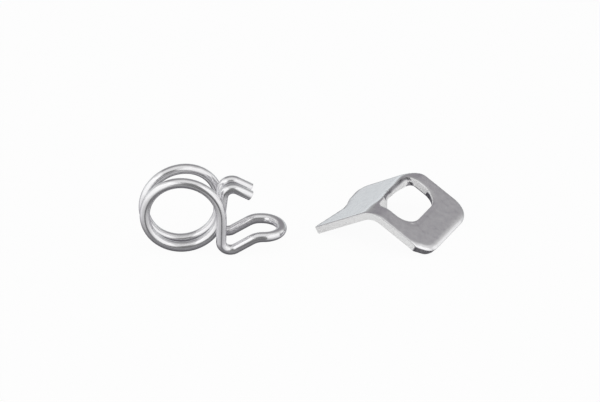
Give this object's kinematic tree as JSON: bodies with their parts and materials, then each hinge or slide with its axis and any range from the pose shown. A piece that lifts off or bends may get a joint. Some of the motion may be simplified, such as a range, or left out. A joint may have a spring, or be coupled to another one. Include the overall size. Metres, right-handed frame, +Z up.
{
  "type": "spring hose clamp with retaining clip",
  "caption": "Double-wire spring hose clamp with a loop tab and hooked ends, beside its bent sheet-metal retaining clip with a window over the bend.",
  "frame": {"origin": "centre of the bounding box on the surface that both pieces stand on", "axes": "+X from the wire clamp to the clip, along the pair, +Y along the clamp's coil axis away from the viewer, +Z up"},
  "size_m": [0.0708, 0.0272, 0.0185],
  "materials": {
    "wire": "bright zinc-plated spring wire",
    "sheet": "satin spring steel sheet"
  },
  "bodies": {
    "hook_side": {"hook_wire_front": "wire", "hook_wire_rear": "wire"},
    "loop_side": {"loop_wire": "wire"},
    "clip": {"retaining_clip": "sheet"}
  },
  "joints": [
    {"name": "squeeze", "type": "hinge", "parent": "hook_side", "child": "loop_side", "pos_m": [-0.03544, -0.00396, 0.0092], "axis": [0, -1, 0], "range_deg": [0, 18], "stiffness_Nm_per_rad": 9},
    {"name": "clip_lift", "type": "slide", "parent": "hook_side", "child": "clip", "axis": [0, 0, 1], "range_m": [0, 0.04]}
  ]
}
